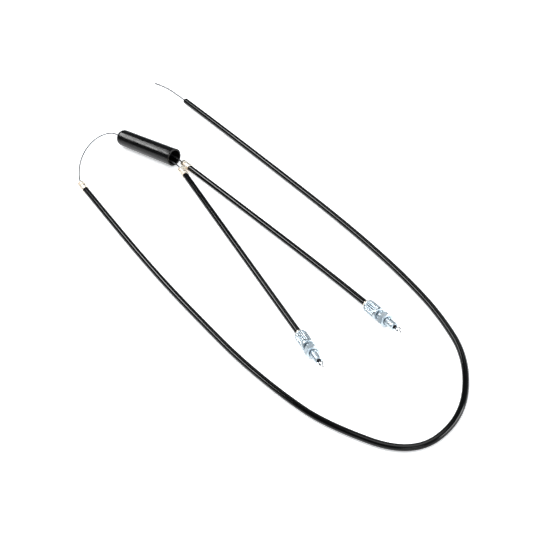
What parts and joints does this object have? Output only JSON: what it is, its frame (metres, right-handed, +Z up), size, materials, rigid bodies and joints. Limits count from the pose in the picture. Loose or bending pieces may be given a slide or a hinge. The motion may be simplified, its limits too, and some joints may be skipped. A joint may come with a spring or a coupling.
{
  "type": "twin throttle cable",
  "caption": "Throttle cable that splits one pull wire into two: black casings, a dark junction tube with a sliding joint, and screw adjusters with lock nuts and ball-ended wires.",
  "frame": {"origin": "on the surface the cable lies on, under the middle of the rigid pieces (splitter, ferrules, adjusters, lock nuts and ball nipples)", "axes": "+X along the splitter from its closed end to its mouth, towards the adjusters; +Z up; +Y to the side that the long casing's cut end lies on"},
  "size_m": [0.5241, 0.2616, 0.0155],
  "materials": {
    "black_pvc": "glossy extruded jacket",
    "conduit_steel": "wound flat wire",
    "nylon_liner": "natural extruded nylon",
    "wire_steel": "galvanised strands",
    "ferrule_nickel": "dull nickel on brass",
    "splitter_plastic": "satin moulded",
    "slider_plastic": "moulded",
    "nipple_brass": "soldered brass",
    "zinc_plate": "bright zinc plate",
    "ball_plate": "polished nickel plate"
  },
  "bodies": {
    "casings": {"long_casing_sheath": "black_pvc", "long_casing_conduit": "conduit_steel", "long_casing_liner": "nylon_liner", "left_casing_sheath": "black_pvc", "left_casing_conduit": "conduit_steel", "left_casing_liner": "nylon_liner", "right_casing_sheath": "black_pvc", "right_casing_conduit": "conduit_steel", "right_casing_liner": "nylon_liner", "pull_wire_core": "wire_steel", "slack_loop_wire": "wire_steel", "long_casing_ferrule": "ferrule_nickel", "left_splitter_ferrule": "ferrule_nickel", "left_adjuster_ferrule": "ferrule_nickel", "left_branch_wire": "wire_steel", "right_splitter_ferrule": "ferrule_nickel", "right_adjuster_ferrule": "ferrule_nickel", "right_branch_wire": "wire_steel", "splitter_body": "splitter_plastic"},
    "pull_end": {"pull_wire_end": "wire_steel"},
    "slider": {"splitter_slider": "slider_plastic", "pull_wire_nipple": "nipple_brass", "left_slider_nipple": "nipple_brass", "right_slider_nipple": "nipple_brass"},
    "left_wire": {"left_wire_end": "wire_steel", "left_ball_nipple": "ball_plate"},
    "left_adjuster": {"left_adjuster": "zinc_plate"},
    "left_lock_nut": {"left_lock_nut": "zinc_plate"},
    "right_wire": {"right_wire_end": "wire_steel", "right_ball_nipple": "ball_plate"},
    "right_adjuster": {"right_adjuster": "zinc_plate"},
    "right_lock_nut": {"right_lock_nut": "zinc_plate"}
  },
  "joints": [
    {"name": "throttle_pull", "type": "slide", "parent": "casings", "child": "pull_end", "axis": [-0.9677, 0.252, 0], "range_m": [-0.02, 0.002], "deforming": ["pull_wire_core", "slack_loop_wire"]},
    {"name": "slider_travel", "type": "slide", "parent": "casings", "child": "slider", "axis": [-1, 0, 0], "range_m": [-0.02, 0.002], "deforming": ["left_branch_wire", "right_branch_wire"]},
    {"name": "left_wire_travel", "type": "slide", "parent": "casings", "child": "left_wire", "axis": [-0.9085, 0.4179, -0.0075], "range_m": [-0.02, 0.002]},
    {"name": "left_adjuster_turn", "type": "hinge", "parent": "casings", "child": "left_adjuster", "pos_m": [0.1364, -0.0556, 0.00505], "axis": [0.9085, -0.4179, 0.0075], "range_deg": [-3060, 1260]},
    {"name": "left_lock_nut_travel", "type": "slide", "parent": "casings", "child": "left_lock_nut", "axis": [0.9085, -0.4179, 0.0075], "range_m": [-0.00351, 0.00851]},
    {"name": "right_wire_travel", "type": "slide", "parent": "casings", "child": "right_wire", "axis": [-0.9659, 0.2587, 0], "range_m": [-0.02, 0.002]},
    {"name": "right_adjuster_turn", "type": "hinge", "parent": "casings", "child": "right_adjuster", "pos_m": [0.1608, -0.00335, 0.005], "axis": [0.9659, -0.2587, 0], "range_deg": [-2880, 1530]},
    {"name": "right_lock_nut_travel", "type": "slide", "parent": "casings", "child": "right_lock_nut", "axis": [0.9659, -0.2587, 0], "range_m": [-0.00426, 0.00801]}
  ],
  "couplings": [
    {"joint": "slider_travel", "follows": "throttle_pull", "ratio": 1},
    {"joint": "left_wire_travel", "follows": "throttle_pull", "ratio": 1},
    {"joint": "left_lock_nut_travel", "follows": "left_adjuster_turn", "m_per_rad": -0.00015915},
    {"joint": "right_wire_travel", "follows": "throttle_pull", "ratio": 1},
    {"joint": "right_lock_nut_travel", "follows": "right_adjuster_turn", "m_per_rad": -0.00015915}
  ]
}
